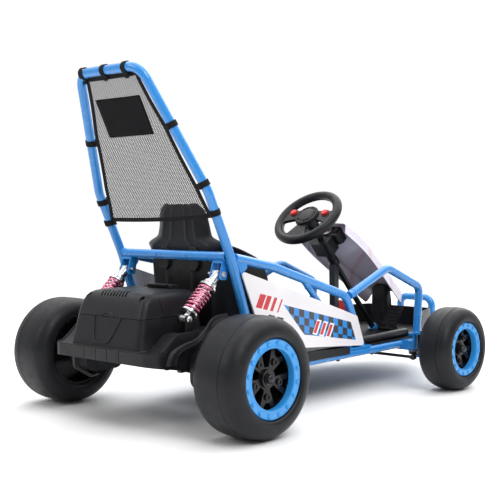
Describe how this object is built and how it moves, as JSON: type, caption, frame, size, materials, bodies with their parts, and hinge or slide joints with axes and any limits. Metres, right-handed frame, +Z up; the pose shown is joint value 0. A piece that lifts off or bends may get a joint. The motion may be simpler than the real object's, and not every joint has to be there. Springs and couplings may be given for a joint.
{
  "type": "electric go-kart",
  "caption": "Ride-on electric kart: tubular frame with roll hoop and mesh panel, bucket seat, steered front wheels, and a sprung rear module with battery box and geared motors.",
  "frame": {"origin": "on the ground, under the middle of the kart's overall length and width", "axes": "+Y is the driving direction, +X the driver's right, +Z up"},
  "size_m": [0.782, 1.243, 0.8036],
  "materials": {
    "frame_blue": "gloss enamel",
    "ring_blue": "painted",
    "tyre_black": "matte",
    "plastic_black": "fine grain",
    "plastic_gloss": "gloss",
    "panel_white": "gloss with printed chequers",
    "red": "gloss",
    "mesh": "open weave",
    "webbing": "ribbed webbing",
    "steel_black": "satin enamel",
    "zinc": "zinc plated",
    "alloy": "satin",
    "spring_red": "gloss powder coat",
    "battery_case": "moulded"
  },
  "bodies": {
    "chassis": {"floor_frame": "frame_blue", "roll_hoop": "frame_blue", "cross_bar": "frame_blue", "side_tubes": "frame_blue", "guard_tubes": "frame_blue", "front_bumper": "frame_blue", "m8_bolts": "zinc", "frame_bolts": "zinc", "pivot_pins": "zinc", "steering_post": "steel_black", "dash_housing": "plastic_black", "dash_meter": "plastic_gloss", "floor_tray": "plastic_black", "column_cover": "plastic_black", "seat_shell": "plastic_black", "side_panels": "panel_white", "nose_panel": "panel_white", "mesh_panel": "mesh", "mesh_straps": "webbing"},
    "steering": {"steering_shaft": "steel_black", "steering_wheel": "plastic_black", "steering_hub_pad": "plastic_black"},
    "horn_right": {"horn_button_right": "red"},
    "horn_left": {"horn_button_left": "red"},
    "gear_selector": {"gear_switch": "plastic_black"},
    "accelerator": {"accelerator_pedal": "plastic_black"},
    "brake": {"brake_pedal": "red"},
    "rear_module": {"swing_arm": "steel_black", "rear_tray": "plastic_black", "box_base": "plastic_black", "battery": "battery_case", "controller": "alloy", "gear_motors": "plastic_black", "rear_axle": "zinc", "axle_nuts": "zinc"},
    "lid": {"box_lid": "plastic_black"},
    "track_rod_body": {"track_rod": "steel_black"},
    "drag_link_body": {"drag_link": "steel_black"},
    "knuckle_body_right": {"knuckle_right": "steel_black", "stub_nut_right": "zinc"},
    "front_wheel_right": {"front_tyre_right": "tyre_black", "front_rim_right": "plastic_gloss", "front_ring_right": "ring_blue"},
    "rear_wheel_right": {"rear_tyre_right": "tyre_black", "rear_rim_right": "plastic_gloss", "rear_ring_right": "ring_blue"},
    "shock_top_right": {"shock_upper_right": "alloy", "spring_right": "spring_red"},
    "shock_foot_right": {"shock_lower_right": "alloy"},
    "knuckle_body_left": {"knuckle_left": "steel_black", "stub_nut_left": "zinc"},
    "front_wheel_left": {"front_tyre_left": "tyre_black", "front_rim_left": "plastic_gloss", "front_ring_left": "ring_blue"},
    "rear_wheel_left": {"rear_tyre_left": "tyre_black", "rear_rim_left": "plastic_gloss", "rear_ring_left": "ring_blue"},
    "shock_top_left": {"shock_upper_left": "alloy", "spring_left": "spring_red"},
    "shock_foot_left": {"shock_lower_left": "alloy"}
  },
  "joints": [
    {"name": "steering_turn", "type": "hinge", "parent": "chassis", "child": "steering", "pos_m": [0, 0.0985, 0.45], "axis": [0, -0.6626, 0.749], "range_deg": [-26, 26]},
    {"name": "gear_rocker", "type": "hinge", "parent": "chassis", "child": "gear_selector", "pos_m": [0.038, 0.17265, 0.41146], "axis": [1, 0, 0], "range_deg": [-10, 10]},
    {"name": "accelerator_press", "type": "hinge", "parent": "chassis", "child": "accelerator", "pos_m": [0.071, 0.3625, 0.127], "axis": [1, 0, 0], "range_deg": [-15, 0], "stiffness_Nm_per_rad": 2, "springref_deg": 8.59},
    {"name": "brake_press", "type": "hinge", "parent": "chassis", "child": "brake", "pos_m": [-0.078, 0.3205, 0.127], "axis": [1, 0, 0], "range_deg": [-18, 0], "stiffness_Nm_per_rad": 2, "springref_deg": 8.59},
    {"name": "rear_suspension", "type": "hinge", "parent": "chassis", "child": "rear_module", "pos_m": [0, -0.2845, 0.106], "axis": [1, 0, 0], "range_deg": [-4.6, 0], "stiffness_Nm_per_rad": 2480, "springref_deg": 2.29},
    {"name": "lid_tilt", "type": "hinge", "parent": "rear_module", "child": "lid", "pos_m": [0, -0.419, 0.2455], "axis": [1, 0, 0], "range_deg": [-30, 0]},
    {"name": "track_rod_swing", "type": "hinge", "parent": "knuckle_body_right", "child": "track_rod_body", "pos_m": [0.262, 0.2095, 0.082], "axis": [0, 0, 1], "range_deg": [-18.6, 18.6]},
    {"name": "drag_link_swing", "type": "hinge", "parent": "knuckle_body_left", "child": "drag_link_body", "pos_m": [-0.246, 0.2275, 0.082], "axis": [0, 0, 1], "range_deg": [-19.8, 19.8]},
    {"name": "knuckle_turn_right", "type": "hinge", "parent": "chassis", "child": "knuckle_body_right", "pos_m": [0.25, 0.2695, 0.107], "axis": [0, 0, 1], "range_deg": [-19.5, 19.5]},
    {"name": "front_wheel_spin_right", "type": "hinge", "parent": "knuckle_body_right", "child": "front_wheel_right", "pos_m": [0.344, 0.2695, 0.107], "axis": [1, 0, 0], "continuous": true},
    {"name": "rear_wheel_spin_right", "type": "hinge", "parent": "rear_module", "child": "rear_wheel_right", "pos_m": [0.322, -0.4695, 0.13], "axis": [1, 0, 0], "continuous": true},
    {"name": "horn_press_right", "type": "slide", "parent": "steering", "child": "horn_right", "axis": [0, 0.6626, -0.749], "range_m": [0, 0.003], "stiffness_N_per_m": 300, "springref_m": -0.001},
    {"name": "shock_swing_right", "type": "hinge", "parent": "chassis", "child": "shock_top_right", "pos_m": [0.158, -0.4065, 0.335], "axis": [1, 0, 0], "range_deg": [-2.8, 0]},
    {"name": "shock_slide_right", "type": "slide", "parent": "shock_top_right", "child": "shock_foot_right", "axis": [0, -0.7426, -0.6698], "range_m": [-0.021, 0], "deforming": ["spring_right"]},
    {"name": "knuckle_turn_left", "type": "hinge", "parent": "chassis", "child": "knuckle_body_left", "pos_m": [-0.25, 0.2695, 0.107], "axis": [0, 0, 1], "range_deg": [-19.5, 19.5]},
    {"name": "front_wheel_spin_left", "type": "hinge", "parent": "knuckle_body_left", "child": "front_wheel_left", "pos_m": [-0.344, 0.2695, 0.107], "axis": [1, 0, 0], "continuous": true},
    {"name": "rear_wheel_spin_left", "type": "hinge", "parent": "rear_module", "child": "rear_wheel_left", "pos_m": [-0.322, -0.4695, 0.13], "axis": [1, 0, 0], "continuous": true},
    {"name": "horn_press_left", "type": "slide", "parent": "steering", "child": "horn_left", "axis": [0, 0.6626, -0.749], "range_m": [0, 0.003], "stiffness_N_per_m": 300, "springref_m": -0.001},
    {"name": "shock_swing_left", "type": "hinge", "parent": "chassis", "child": "shock_top_left", "pos_m": [-0.158, -0.4065, 0.335], "axis": [1, 0, 0], "range_deg": [-2.8, 0]},
    {"name": "shock_slide_left", "type": "slide", "parent": "shock_top_left", "child": "shock_foot_left", "axis": [0, -0.7426, -0.6698], "range_m": [-0.021, 0], "deforming": ["spring_left"]}
  ],
  "couplings": [
    {"joint": "knuckle_turn_right", "follows": "steering_turn", "ratio": 0.72},
    {"joint": "knuckle_turn_left", "follows": "steering_turn", "ratio": 0.72},
    {"joint": "track_rod_swing", "follows": "steering_turn", "ratio": -0.688},
    {"joint": "drag_link_swing", "follows": "steering_turn", "ratio": -0.732},
    {"joint": "shock_swing_right", "follows": "rear_suspension", "ratio": 0.5484},
    {"joint": "shock_slide_right", "follows": "rear_suspension", "m_per_rad": 0.25275},
    {"joint": "shock_swing_left", "follows": "rear_suspension", "ratio": 0.5484},
    {"joint": "shock_slide_left", "follows": "rear_suspension", "m_per_rad": 0.25275}
  ]
}
